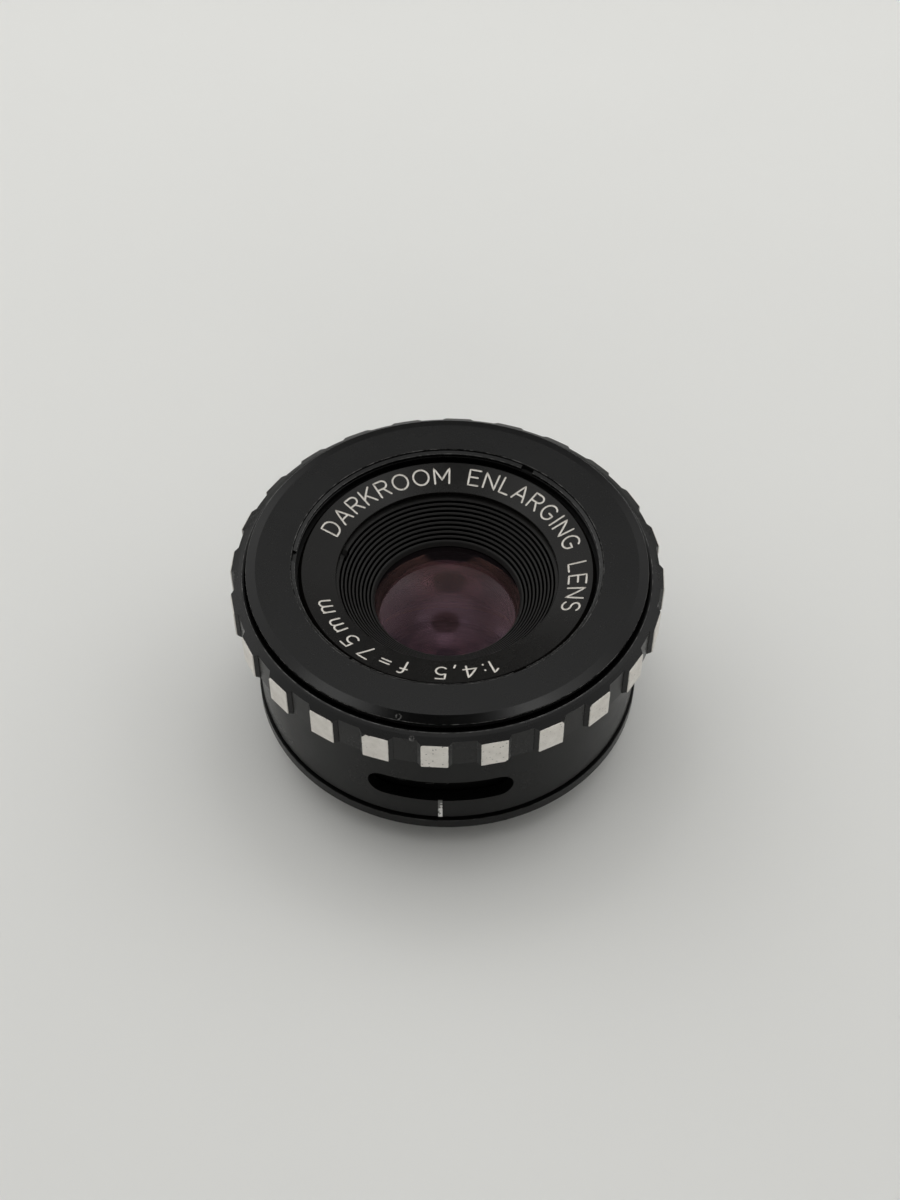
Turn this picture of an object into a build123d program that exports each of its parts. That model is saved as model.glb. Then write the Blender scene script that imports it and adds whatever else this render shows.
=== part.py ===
"""Screw-mount enlarging lens, 75 mm f/4.5, with a clicked aperture ring.

Frame: the origin lies on the optical axis in the plane of the flange's seating face. +Z runs along
the axis towards the front of the lens, and the index line under the window lies towards -Y.
Azimuths are degrees about the axis, counted from -Y towards +X. All lengths are millimetres.
"""
import math
import os

from build123d import *

# ---- driving dimensions --------------------------------------------------------------------------
THREAD_RADIUS = 19.5  # M39 x 26 threads per inch, the usual enlarger lens thread
THREAD_PITCH = 25.4 / 26
THREAD_LENGTH = 4.0
THREAD_DEPTH = 0.55
THREAD_CHAMFER = 0.4
FLANGE_RADIUS = 23.0
FLANGE_TOP = 1.42
SHELL_RADIUS = 22.7
SHELL_BOTTOM = 1.76
SHELL_TOP = 14.85
RING_BOTTOM = 14.95
RING_SHOULDER = 18.75
RING_TOP = 19.40
FACET_APOTHEM = 25.0  # across the white facets the lens measures 50 mm
FACET_WIDTH = 3.0
FACET_COUNT = 24
FACET_PHASE = -1.06
RECESS_RADIUS = 24.5
INLAY_DEPTH = 0.12
BEZEL_FACE = 20.45
BEZEL_RADIUS = 23.1
BEZEL_OPENING = 17.92
FILTER_CREST = 17.48  # M35.5 x 0.5 filter thread, minor radius
FILTER_ROOT = 17.75
NAME_RING_OUTER = 17.15
NAME_RING_INNER = 12.85
CONE_TOP = (12.75, 17.30)  # radius and height of the baffle's first ridge
CONE_FOOT = (8.54, 13.66)
RIDGE_COUNT = 10
WINDOW_HALF_ANGLE = 21.25
WINDOW_BOTTOM = 5.05
WINDOW_TOP = 8.65
DRUM_OUTER = 21.0
DRUM_INNER = 20.3
BARREL_RADIUS = 20.0
EDGE_BREAK = 0.08  # small chamfer on turned edges
SEAT_GAP = 0.02  # between turned pieces that are screwed or pushed together

# ---- the iris ------------------------------------------------------------------------------------
RING_TRAVEL = 75.0  # degrees from f/4.5 to f/22, one stop for each 15 degree facet
BLADE_COUNT = 5
BLADE_INNER = 7.8
BLADE_OUTER = 12.0
BLADE_SPAN = 140.0
BLADE_SWING = 25.3  # degrees that a blade turns while the ring makes its full travel
BLADE_THICKNESS = 0.2
BLADE_SPACING = 0.32
BLADE_FLOOR = 3.1
PIVOT_RADIUS = 14.4
DRIVE_PIN_OFFSET = 4.6
DRIVE_PIN_RADIUS = 0.45
CAM_SLOT_WIDTH = 1.1
CAM_BOTTOM = 4.7
CAM_TOP = 5.4
DRIVE_HEIGHT = 6.65  # height of the radial pin that joins the drum to the cam ring
DRIVE_AZIMUTH = 180.0
STEM_RADIUS = 0.5

os.makedirs("parts", exist_ok=True)


# ---- helpers -------------------------------------------------------------------------------------
def save(part, name):
    """Label a finished piece and write its STEP file."""
    part.label = name
    export_step(part, f"parts/{name}.step")


def half_plane(azimuth):
    """Plane through the axis: local x is the radius at this azimuth, local y is the height."""
    angle = math.radians(azimuth)
    return Plane(
        origin=(0, 0, 0),
        x_dir=(math.sin(angle), -math.cos(angle), 0),
        z_dir=(-math.cos(angle), -math.sin(angle), 0),
    )


def side_plane(azimuth, radius, height):
    """Plane that faces away from the axis at a place on the barrel, local y pointing up."""
    angle = math.radians(azimuth)
    outward = Vector(math.sin(angle), -math.cos(angle), 0)
    return Plane(
        origin=outward * radius + Vector(0, 0, height),
        x_dir=(math.cos(angle), math.sin(angle), 0),
        z_dir=outward,
    )


def turn(*outline, mode=Mode.ADD, start=0.0, arc=360.0):
    """Turn a closed (radius, height) outline about the axis, within the part being made."""
    with BuildSketch(half_plane(start)) as section:
        with BuildLine():
            Polyline(*outline, close=True)
        make_face()
    revolve(section.sketch, axis=Axis.Z, revolution_arc=arc, mode=mode)


def turn_rings(pitch, count, crest, root, first, width):
    """Cut thread-like V rings: crest and root are radii, first is the height of the top ring."""
    for turn_number in range(count):
        middle = first - turn_number * pitch
        overrun = crest + (crest - root) * 0.2
        mouth = width / 2 * 1.2
        turn(
            (overrun, middle + mouth),
            (root, middle),
            (overrun, middle - mouth),
            mode=Mode.SUBTRACT,
        )


def drill(azimuth, outer, inner, height, radius, mode=Mode.SUBTRACT):
    """Make a radial hole or pin between two radii."""
    with Locations(side_plane(azimuth, (outer + inner) / 2, height)):
        Cylinder(radius=radius, height=outer - inner, mode=mode)


def sag(curve, radius):
    """Depth of a spherical surface of radius curve at this distance from its vertex."""
    return abs(curve) - math.sqrt(curve**2 - radius**2)


def surface(vertex, curve, rim):
    """Vertex, middle and rim points of a glass surface; a positive curve bows towards +Z."""
    bow = math.copysign(1, curve)
    return [(r, vertex - bow * sag(curve, r)) for r in (0, rim / 2, rim)]


def glass(rim, front, back, front_clear=None, back_clear=None):
    """Turn a lens element from its two surfaces, each a (vertex, curve) pair."""
    top = surface(*front, front_clear or rim)
    bottom = surface(*back, back_clear or rim)
    edge = [top[2], (rim, top[2][1]), (rim, bottom[2][1]), bottom[2]]
    corners = [point for n, point in enumerate(edge) if point not in edge[:n]]
    with BuildSketch(Plane.XZ) as section:
        with BuildLine():
            ThreePointArc(*top)
            Polyline(*corners)
            ThreePointArc(*bottom)
            Line(bottom[0], top[0])
        make_face()
    revolve(section.sketch, axis=Axis.Z)


# ---- the mount -----------------------------------------------------------------------------------
WEB_UNDERSIDE = -1.2  # the web carries the rear cell, recessed in the thread's well
WEB_BORE = 10.9
WELL_RADIUS = 17.2
NECK_RADIUS = SHELL_RADIUS - 0.6  # shadow groove between the flange and the barrel

with BuildPart() as mount_flange:
    turn(
        (THREAD_RADIUS - THREAD_CHAMFER, -THREAD_LENGTH),
        (THREAD_RADIUS, -THREAD_LENGTH + THREAD_CHAMFER),
        (THREAD_RADIUS, 0),
        (FLANGE_RADIUS - EDGE_BREAK, 0),
        (FLANGE_RADIUS, EDGE_BREAK),
        (FLANGE_RADIUS, FLANGE_TOP - EDGE_BREAK),
        (FLANGE_RADIUS - EDGE_BREAK, FLANGE_TOP),
        (NECK_RADIUS, FLANGE_TOP),
        (NECK_RADIUS, SHELL_BOTTOM),
        (WEB_BORE, SHELL_BOTTOM),
        (WEB_BORE, WEB_UNDERSIDE),
        (WELL_RADIUS, WEB_UNDERSIDE),
        (WELL_RADIUS, -THREAD_LENGTH),
    )
    turn_rings(THREAD_PITCH, 3, THREAD_RADIUS, THREAD_RADIUS - THREAD_DEPTH, -0.72, 0.62)
save(mount_flange.part, "mount_flange")

# ---- the lower barrel with its window ------------------------------------------------------------
LOCK_HEIGHT = 2.7
LOCK_RADIUS = 0.6
LOCK_DEPTH = 0.8  # how far the screw reaches into the main barrel
FLOOR_TOP = 3.6
SHELL_BORE = DRUM_OUTER + 0.3
INDEX_WIDTH = 0.5

with BuildPart() as body_shell:
    turn(
        (BARREL_RADIUS + SEAT_GAP, SHELL_BOTTOM),
        (SHELL_RADIUS - EDGE_BREAK, SHELL_BOTTOM),
        (SHELL_RADIUS, SHELL_BOTTOM + EDGE_BREAK),
        (SHELL_RADIUS, SHELL_TOP),
        (SHELL_BORE, SHELL_TOP),
        (SHELL_BORE, FLOOR_TOP),
        (BARREL_RADIUS + SEAT_GAP, FLOOR_TOP),
    )
    # the window is a slot milled round the barrel, with fully rounded ends
    window_middle = (WINDOW_BOTTOM + WINDOW_TOP) / 2
    end_radius = (WINDOW_TOP - WINDOW_BOTTOM) / 2
    end_angle = WINDOW_HALF_ANGLE - math.degrees(end_radius / SHELL_RADIUS)
    turn(
        (DRUM_OUTER, WINDOW_BOTTOM),
        (SHELL_RADIUS + 1, WINDOW_BOTTOM),
        (SHELL_RADIUS + 1, WINDOW_TOP),
        (DRUM_OUTER, WINDOW_TOP),
        mode=Mode.SUBTRACT,
        start=-end_angle,
        arc=2 * end_angle,
    )
    for azimuth in (-end_angle, end_angle):
        drill(azimuth, SHELL_RADIUS + 1, DRUM_OUTER, window_middle, end_radius)
    # groove for the index line, from the window's edge to the foot of the barrel
    index_height = WINDOW_BOTTOM - SHELL_BOTTOM
    with Locations(side_plane(0, SHELL_RADIUS, SHELL_BOTTOM + index_height / 2)):
        Box(INDEX_WIDTH, index_height, 0.3, mode=Mode.SUBTRACT)
    drill(180, SHELL_RADIUS + 1, BARREL_RADIUS - 1, LOCK_HEIGHT, LOCK_RADIUS + SEAT_GAP)
save(body_shell.part, "body_shell")

with BuildPart() as index_mark:
    with Locations(side_plane(0, SHELL_RADIUS, SHELL_BOTTOM + index_height / 2)):
        Box(INDEX_WIDTH, index_height, 1)
    # the paint fills the groove to just under the barrel's surface
    turn(
        (SHELL_RADIUS - 0.15, 0),
        (SHELL_RADIUS - 0.02, 0),
        (SHELL_RADIUS - 0.02, WINDOW_TOP),
        (SHELL_RADIUS - 0.15, WINDOW_TOP),
        mode=Mode.INTERSECT,
    )
save(index_mark.part, "index_mark")

with BuildPart() as shell_lock_screw:
    lock_head = SHELL_RADIUS - 0.3
    drill(180, lock_head, BARREL_RADIUS - LOCK_DEPTH, LOCK_HEIGHT, LOCK_RADIUS, mode=Mode.ADD)
    with Locations(side_plane(180, lock_head, LOCK_HEIGHT)):
        Box(2, 0.22, 0.7, mode=Mode.SUBTRACT)
save(shell_lock_screw.part, "shell_lock_screw")

# ---- the fixed inner tube ------------------------------------------------------------------------
CLICK_AZIMUTH = 90.0
CLICK_HEIGHT = 13.0
CLICK_DEPTH = 17.6  # radius of the floor of the click spring's pocket
HOUSING_OUTER = 17.25
COLLAR_RADIUS = 19.2  # threaded collar that the bezel screws onto
COLLAR_FOOT = 16.9
COLLAR_TOP = 18.3
CELL_OUTER = 16.55
CELL_SEAT = 9.25
CELL_NECK = 10.4
CELL_TOP = 17.62
SLOT_MARGIN = 4  # degrees of slot beyond the drive pin at each end of its travel
SLOT_HALF_HEIGHT = 0.7

with BuildPart() as main_barrel:
    turn(
        (BARREL_RADIUS, SHELL_BOTTOM),
        (BARREL_RADIUS, COLLAR_FOOT),
        (COLLAR_RADIUS, COLLAR_FOOT),
        (COLLAR_RADIUS, COLLAR_TOP),
        (17.3, COLLAR_TOP),
        (17.3, 17.65),
        (CELL_OUTER + 0.05, 17.65),
        (CELL_OUTER + 0.05, CELL_SEAT),
        (CELL_NECK + 0.2, CELL_SEAT),
        (CELL_NECK + 0.2, 8.2),
        (HOUSING_OUTER + SEAT_GAP, 8.2),
        (HOUSING_OUTER + SEAT_GAP, SHELL_BOTTOM),
    )
    # slot that lets the drive pin swing through the wall
    turn(
        (HOUSING_OUTER - 1, DRIVE_HEIGHT - SLOT_HALF_HEIGHT),
        (BARREL_RADIUS + 1, DRIVE_HEIGHT - SLOT_HALF_HEIGHT),
        (BARREL_RADIUS + 1, DRIVE_HEIGHT + SLOT_HALF_HEIGHT),
        (HOUSING_OUTER - 1, DRIVE_HEIGHT + SLOT_HALF_HEIGHT),
        mode=Mode.SUBTRACT,
        start=DRIVE_AZIMUTH - SLOT_MARGIN,
        arc=RING_TRAVEL + 2 * SLOT_MARGIN,
    )
    drill(CLICK_AZIMUTH, BARREL_RADIUS + 1, CLICK_DEPTH, CLICK_HEIGHT, 0.8)
    drill(180, BARREL_RADIUS + 1, BARREL_RADIUS - LOCK_DEPTH - 0.1, LOCK_HEIGHT, LOCK_RADIUS + SEAT_GAP)
save(main_barrel.part, "main_barrel")

# ---- the click stop ------------------------------------------------------------------------------
with BuildPart() as click_ball:
    with Locations(side_plane(CLICK_AZIMUTH, BARREL_RADIUS - 0.5, CLICK_HEIGHT)):
        Sphere(0.7)
save(click_ball.part, "click_ball")

SPRING_WIRE = 0.11
SPRING_RADIUS = 0.5
with BuildPart() as click_spring:
    spring_seat = side_plane(CLICK_AZIMUTH, CLICK_DEPTH + SPRING_WIRE, CLICK_HEIGHT)
    with BuildLine() as coil:
        Helix(0.29, 0.95, SPRING_RADIUS, center=spring_seat.origin, direction=spring_seat.z_dir)
    with BuildSketch(Plane(origin=coil.line @ 0, z_dir=coil.line % 0)):
        Circle(SPRING_WIRE)
    sweep(path=coil.line, is_frenet=True)
save(click_spring.part, "click_spring")

# ---- the front bezel and the ring with the filter thread -----------------------------------------
BEZEL_UNDERSIDE = 19.65
BEZEL_EDGE = 20.25
BEVEL_RADIUS = 22.0

with BuildPart() as front_bezel:
    turn(
        (BEZEL_OPENING, BEZEL_UNDERSIDE + SEAT_GAP),
        (BEZEL_OPENING, BEZEL_FACE - 0.06),
        (BEZEL_OPENING + 0.06, BEZEL_FACE),
        (BEVEL_RADIUS, BEZEL_FACE),
        (BEZEL_RADIUS - 0.05, BEZEL_EDGE),
        (BEZEL_RADIUS, BEZEL_EDGE - 0.05),
        (BEZEL_RADIUS, BEZEL_UNDERSIDE),
        (BARREL_RADIUS, BEZEL_UNDERSIDE),
        (BARREL_RADIUS, COLLAR_FOOT + 0.1),
        (COLLAR_RADIUS + SEAT_GAP, COLLAR_FOOT + 0.1),
        (COLLAR_RADIUS + SEAT_GAP, BEZEL_UNDERSIDE + SEAT_GAP),
    )
save(front_bezel.part, "front_bezel")

FILTER_LIP = 20.22
FILTER_GROOVE = 19.68
NOTCH_AZIMUTHS = (-91, 29, 149)
SLIT_AZIMUTH = -35

with BuildPart() as filter_ring:
    turn(
        (FILTER_CREST + 0.35, COLLAR_TOP + SEAT_GAP),
        (COLLAR_RADIUS - SEAT_GAP, COLLAR_TOP + SEAT_GAP),
        (COLLAR_RADIUS - SEAT_GAP, BEZEL_UNDERSIDE),
        (BEZEL_OPENING - 0.05, BEZEL_UNDERSIDE),
        (BEZEL_OPENING - 0.05, FILTER_LIP),
        (FILTER_CREST, FILTER_LIP - 0.2),
        (FILTER_CREST, 19.45),
        (FILTER_CREST + 0.35, 19.35),
    )
    # the one full turn of the filter thread that stands clear of the engraved ring
    turn(
        (FILTER_CREST - 0.05, FILTER_GROOVE + 0.14),
        (FILTER_ROOT, FILTER_GROOVE),
        (FILTER_CREST - 0.05, FILTER_GROOVE - 0.14),
        mode=Mode.SUBTRACT,
    )
    for azimuth in NOTCH_AZIMUTHS:
        with Locations(side_plane(azimuth, FILTER_CREST, FILTER_LIP)):
            Box(1.6, 0.8, 2, mode=Mode.SUBTRACT)
    with Locations(side_plane(SLIT_AZIMUTH, FILTER_CREST, FILTER_LIP)):
        Box(0.28, 1.4, 2, mode=Mode.SUBTRACT)
save(filter_ring.part, "filter_ring")

# ---- the engraved ring and the ridged cone inside it ---------------------------------------------
NAME_RING_BOTTOM = 17.72
BAFFLE_OUTER = 13.85
BAFFLE_BOTTOM = 13.30

with BuildPart() as name_ring:
    turn(
        (NAME_RING_INNER, NAME_RING_BOTTOM),
        (NAME_RING_INNER, 18.15),
        (NAME_RING_INNER + 0.05, 18.21),
        (NAME_RING_OUTER - 0.05, 19.33),
        (NAME_RING_OUTER, 19.28),
        (NAME_RING_OUTER, NAME_RING_BOTTOM),
    )
save(name_ring.part, "name_ring")

with BuildPart() as front_baffle:
    ridge_run = (CONE_TOP[0] - CONE_FOOT[0]) / RIDGE_COUNT
    ridge_drop = (CONE_TOP[1] - CONE_FOOT[1]) / RIDGE_COUNT
    crest_share = 0.6
    groove_depth = 0.36
    ridges = []
    for ridge in range(RIDGE_COUNT):
        crest = (CONE_TOP[0] - ridge * ridge_run, CONE_TOP[1] - ridge * ridge_drop)
        lip = (crest[0] - crest_share * ridge_run, crest[1] - crest_share * ridge_drop)
        ridges += [crest, lip]
        if ridge < RIDGE_COUNT - 1:
            ridges.append((lip[0] + groove_depth, lip[1] - 0.03))
    turn(
        *ridges,
        (CONE_FOOT[0], BAFFLE_BOTTOM),
        (BAFFLE_OUTER, BAFFLE_BOTTOM),
        (BAFFLE_OUTER, CONE_TOP[1]),
    )
    # small spanner notch in the first ridge
    with Locations(side_plane(-105, 12.9, CONE_TOP[1])):
        Box(1.0, 1.0, 1.6, mode=Mode.SUBTRACT)
save(front_baffle.part, "front_baffle")

# ---- the optics: four elements in three groups ---------------------------------------------------
FRONT_RIM = 9.3
MIDDLE_RIM = 8.2
REAR_RIM = 8.0
GLASS_GAP = 0.05  # between a lens element's rim and its cell
SPACER_SEAT = 10.3
MIDDLE_SEAT = 6.64

with BuildPart() as front_cell:
    turn(
        (7.1, 6.30),
        (CELL_NECK, 6.30),
        (CELL_NECK, CELL_SEAT + SEAT_GAP),
        (CELL_OUTER, CELL_SEAT + SEAT_GAP),
        (CELL_OUTER, CELL_TOP),
        (BAFFLE_OUTER + 0.05, CELL_TOP),
        (BAFFLE_OUTER + 0.05, BAFFLE_BOTTOM - 0.08),
        (FRONT_RIM + GLASS_GAP, BAFFLE_BOTTOM - 0.08),
        (FRONT_RIM + GLASS_GAP, SPACER_SEAT),
        (MIDDLE_RIM + GLASS_GAP, SPACER_SEAT),
        (MIDDLE_RIM + GLASS_GAP, MIDDLE_SEAT),
        (7.1, MIDDLE_SEAT),
    )
save(front_cell.part, "front_cell")

with BuildPart() as front_element:
    glass(FRONT_RIM, (15.0, 21.0), (11.4, 220.0))
save(front_element.part, "front_element")

with BuildPart() as element_spacer:
    turn(
        (7.35, 9.95),
        (MIDDLE_RIM, 9.95),
        (MIDDLE_RIM, SPACER_SEAT + 0.05),
        (FRONT_RIM, SPACER_SEAT + 0.05),
        (FRONT_RIM, 11.17),
        (7.9, 11.17),
    )
save(element_spacer.part, "element_spacer")

with BuildPart() as middle_element:
    glass(MIDDLE_RIM, (9.2, -38.0), (8.0, 19.0), front_clear=7.2, back_clear=7.0)
save(middle_element.part, "middle_element")

CEMENT_CURVE = 18.0
with BuildPart() as rear_flint_element:
    glass(REAR_RIM, (1.2, -60.0), (0.1, CEMENT_CURVE), front_clear=7.4)
save(rear_flint_element.part, "rear_flint_element")

with BuildPart() as rear_crown_element:
    glass(REAR_RIM, (0.09, CEMENT_CURVE), (-3.5, -26.0))
save(rear_crown_element.part, "rear_crown_element")

REAR_CELL_OUTER = 12.2
REAR_CELL_END = -3.3
RETAINER_SEAT = -2.3
RETAINER_OUTER = 9.25

with BuildPart() as rear_cell:
    turn(
        (7.4, 1.72),
        (7.7, 2.1),
        (WEB_BORE - 0.05, 2.1),
        (WEB_BORE - 0.05, WEB_UNDERSIDE - SEAT_GAP),
        (REAR_CELL_OUTER, WEB_UNDERSIDE - SEAT_GAP),
        (REAR_CELL_OUTER, REAR_CELL_END + 0.2),
        (REAR_CELL_OUTER - 0.2, REAR_CELL_END),
        (RETAINER_OUTER + 0.05, REAR_CELL_END),
        (RETAINER_OUTER + 0.05, RETAINER_SEAT),
        (REAR_RIM + GLASS_GAP, RETAINER_SEAT),
        (REAR_RIM + GLASS_GAP, 1.72),
    )
    for azimuth in (0, 180):
        with Locations(side_plane(azimuth, REAR_CELL_OUTER - 0.6, REAR_CELL_END)):
            Box(1.4, 1.2, 1.6, mode=Mode.SUBTRACT)
save(rear_cell.part, "rear_cell")

with BuildPart() as rear_retaining_ring:
    turn(
        (7.75, RETAINER_SEAT - 0.15),
        (RETAINER_OUTER, RETAINER_SEAT - 0.15),
        (RETAINER_OUTER, REAR_CELL_END),
        (8.35, REAR_CELL_END),
    )
    for azimuth in (90, 270):
        with Locations(side_plane(azimuth, RETAINER_OUTER - 0.25, REAR_CELL_END)):
            Box(1.2, 0.9, 2.4, mode=Mode.SUBTRACT)
save(rear_retaining_ring.part, "rear_retaining_ring")


# ---- the iris housing ----------------------------------------------------------------------------
def pivot_polar(number):
    """Polar angle, from +X, of a blade's pivot."""
    return 90 + number * 360 / BLADE_COUNT


HOUSING_BORE = 16.6
HOUSING_FLOOR = 2.95
SNAP_GROOVE_RADIUS = 16.95
SNAP_BOTTOM = 5.53
SNAP_TOP = 5.92
PIN_RADIUS = 0.45  # a blade's pivot pin
PIN_FOOT = 2.1

with BuildPart() as iris_housing:
    turn(
        (7.6, 2.5),
        (7.6, HOUSING_FLOOR),
        (HOUSING_BORE, HOUSING_FLOOR),
        (HOUSING_BORE, SNAP_BOTTOM - 0.08),
        (SNAP_GROOVE_RADIUS, SNAP_BOTTOM - 0.03),
        (SNAP_GROOVE_RADIUS, SNAP_TOP + 0.03),
        (HOUSING_BORE, SNAP_TOP + 0.08),
        (HOUSING_BORE, 8.0),
        (HOUSING_OUTER, 8.0),
        (HOUSING_OUTER, 1.8),
        (11.2, 1.8),
        (11.2, 2.2),
        (8.6, 2.2),
    )
    # open slot for the drive pin
    turn(
        (HOUSING_BORE - 0.6, DRIVE_HEIGHT - SLOT_HALF_HEIGHT),
        (HOUSING_OUTER + 0.75, DRIVE_HEIGHT - SLOT_HALF_HEIGHT),
        (HOUSING_OUTER + 0.75, 9),
        (HOUSING_BORE - 0.6, 9),
        mode=Mode.SUBTRACT,
        start=DRIVE_AZIMUTH - SLOT_MARGIN,
        arc=RING_TRAVEL + 2 * SLOT_MARGIN,
    )
    with PolarLocations(PIVOT_RADIUS, BLADE_COUNT, start_angle=pivot_polar(0)):
        Hole(PIN_RADIUS + 0.05)
save(iris_housing.part, "iris_housing")

with BuildPart() as iris_snap_ring:
    turn(
        (15.95, SNAP_BOTTOM),
        (SNAP_GROOVE_RADIUS - 0.05, SNAP_BOTTOM),
        (SNAP_GROOVE_RADIUS - 0.05, SNAP_TOP),
        (15.95, SNAP_TOP),
        start=-165,
        arc=330,
    )
save(iris_snap_ring.part, "iris_snap_ring")


# ---- the blades ----------------------------------------------------------------------------------
def drive_pin_place(swing):
    """Place of a blade's drive pin once the blade has swung, with the pivot on +X."""
    angle = math.radians(-90 - swing)
    x = PIVOT_RADIUS + DRIVE_PIN_OFFSET * math.cos(angle)
    y = DRIVE_PIN_OFFSET * math.sin(angle)
    return x, y


for number in range(BLADE_COUNT):
    blade_bottom = BLADE_FLOOR + number * BLADE_SPACING
    blade_top = blade_bottom + BLADE_THICKNESS
    turned_to_pivot = Rotation(0, 0, pivot_polar(number))
    with BuildPart() as iris_blade:
        with BuildSketch(Plane.XY.offset(blade_bottom) * turned_to_pivot):
            with BuildLine():
                outer_arc = CenterArc((0, 0), BLADE_OUTER, 0, -BLADE_SPAN)
                inner_arc = CenterArc((0, 0), BLADE_INNER, 0, -BLADE_SPAN)
                Line(outer_arc @ 0, inner_arc @ 0)
                Line(outer_arc @ 1, inner_arc @ 1)
            make_face()
            tab_tip = drive_pin_place(0)
            with Locations((PIVOT_RADIUS, 0)):
                Circle(1.4)
            with Locations(tab_tip):
                Circle(1.0)
            Polygon(
                (BLADE_OUTER - 1.5, 0),
                (PIVOT_RADIUS, 1.3),
                (PIVOT_RADIUS + 1.2, 0),
                (PIVOT_RADIUS + 0.9, tab_tip[1]),
                (PIVOT_RADIUS - 0.9, tab_tip[1]),
                (BLADE_OUTER - 2.4, -4.6),
                align=None,
            )
        extrude(amount=BLADE_THICKNESS)
        # pivot pin below, drive pin above
        with BuildSketch(Plane.XY.offset(PIN_FOOT) * turned_to_pivot):
            with Locations((PIVOT_RADIUS, 0)):
                Circle(PIN_RADIUS)
        extrude(amount=blade_bottom - PIN_FOOT)
        with BuildSketch(Plane.XY.offset(blade_top) * turned_to_pivot):
            with Locations(tab_tip):
                Circle(DRIVE_PIN_RADIUS)
        extrude(amount=CAM_TOP - 0.05 - blade_top)
    save(iris_blade.part, f"iris_blade_{number + 1}")

# ---- the cam ring: spiral slots give each blade a swing in step with the ring's turn -------------
CAM_OUTER = 16.3
CAM_BORE = 9.0
LUG_INNER = 10.8
LUG_OUTER = 12.4
LUG_FOOT = 5.0
LUG_TOP = 7.4
LUG_WIDTH = 3.0


def cam_slot_point(share):
    """Drive pin's place as the cam ring sees it, after this share of the ring's travel."""
    x, y = drive_pin_place(BLADE_SWING * share)
    angle = math.atan2(y, x) - math.radians(RING_TRAVEL * share)
    radius = math.hypot(x, y)
    return radius * math.cos(angle), radius * math.sin(angle)


CAM_OVERRUN = 0.02  # share of the travel left free at each end of a slot
cam_path = ThreePointArc(*[cam_slot_point(share) for share in (-CAM_OVERRUN, 0.5, 1 + CAM_OVERRUN)])

with BuildPart() as iris_cam_ring:
    with BuildSketch(Plane.XY.offset(CAM_BOTTOM)):
        Circle(CAM_OUTER)
        Circle(CAM_BORE, mode=Mode.SUBTRACT)
        for number in range(BLADE_COUNT):
            SlotArc(cam_path, CAM_SLOT_WIDTH, rotation=pivot_polar(number), mode=Mode.SUBTRACT)
    extrude(amount=CAM_TOP - CAM_BOTTOM)
    # lug that takes the tip of the drive pin
    with Locations(side_plane(DRIVE_AZIMUTH, (LUG_INNER + LUG_OUTER) / 2, (LUG_FOOT + LUG_TOP) / 2)):
        Box(LUG_WIDTH, LUG_TOP - LUG_FOOT, LUG_OUTER - LUG_INNER)
    drill(DRIVE_AZIMUTH, LUG_OUTER + 1, LUG_INNER - 1, DRIVE_HEIGHT, STEM_RADIUS + SEAT_GAP)
save(iris_cam_ring.part, "iris_cam_ring")

# ---- the scale drum, and the pin through the barrel's slot ---------------------------------------
DRUM_BOTTOM = 3.9
DRUM_TOP = 17.8
HEAD_RADIUS = 0.97
STOP_COUNT = 6
SCREW_HEIGHT = 16.75
SCREW_RADIUS = 0.7
SCREW_AZIMUTHS = (FACET_PHASE + 97.5, FACET_PHASE - 97.5)

with BuildPart() as scale_drum:
    turn(
        (DRUM_INNER, DRUM_BOTTOM),
        (DRUM_OUTER, DRUM_BOTTOM),
        (DRUM_OUTER, DRUM_TOP),
        (DRUM_INNER, DRUM_TOP),
    )
    # one click groove for each stop
    for stop in range(STOP_COUNT):
        groove_azimuth = CLICK_AZIMUTH - stop * RING_TRAVEL / (STOP_COUNT - 1)
        with Locations(side_plane(groove_azimuth, DRUM_INNER - 0.2, CLICK_HEIGHT)):
            Cylinder(radius=0.5, height=2.4, rotation=(90, 0, 0), mode=Mode.SUBTRACT)
    drill(DRIVE_AZIMUTH, DRUM_OUTER + 1, DRUM_INNER - 1, DRIVE_HEIGHT, HEAD_RADIUS + 0.03)
    for azimuth in SCREW_AZIMUTHS:
        drill(azimuth, DRUM_OUTER + 1, DRUM_INNER - 1, SCREW_HEIGHT, SCREW_RADIUS + SEAT_GAP)
save(scale_drum.part, "scale_drum")

with BuildPart() as drive_pin:
    drive_head = DRUM_OUTER - 0.05
    drill(DRIVE_AZIMUTH, drive_head, DRUM_INNER, DRIVE_HEIGHT, HEAD_RADIUS, mode=Mode.ADD)
    drill(DRIVE_AZIMUTH, DRUM_INNER, LUG_INNER + 0.1, DRIVE_HEIGHT, STEM_RADIUS, mode=Mode.ADD)
    with Locations(side_plane(DRIVE_AZIMUTH, drive_head, DRIVE_HEIGHT)):
        Box(3, 0.3, 0.5, mode=Mode.SUBTRACT)
save(drive_pin.part, "drive_pin")


# ---- the aperture ring ---------------------------------------------------------------------------
LAND_TOP = FACET_APOTHEM - INLAY_DEPTH
LAND_HALF_TOP = FACET_WIDTH / 2
LAND_HALF_FOOT = LAND_HALF_TOP + 0.38
LAND_ROOT = RECESS_RADIUS - 0.02  # where a land's side meets the recess floor
RING_BORE = DRUM_OUTER + SEAT_GAP
BORE_TOP = 18.4
first_land = FACET_PHASE - 90  # angle from +X

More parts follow.
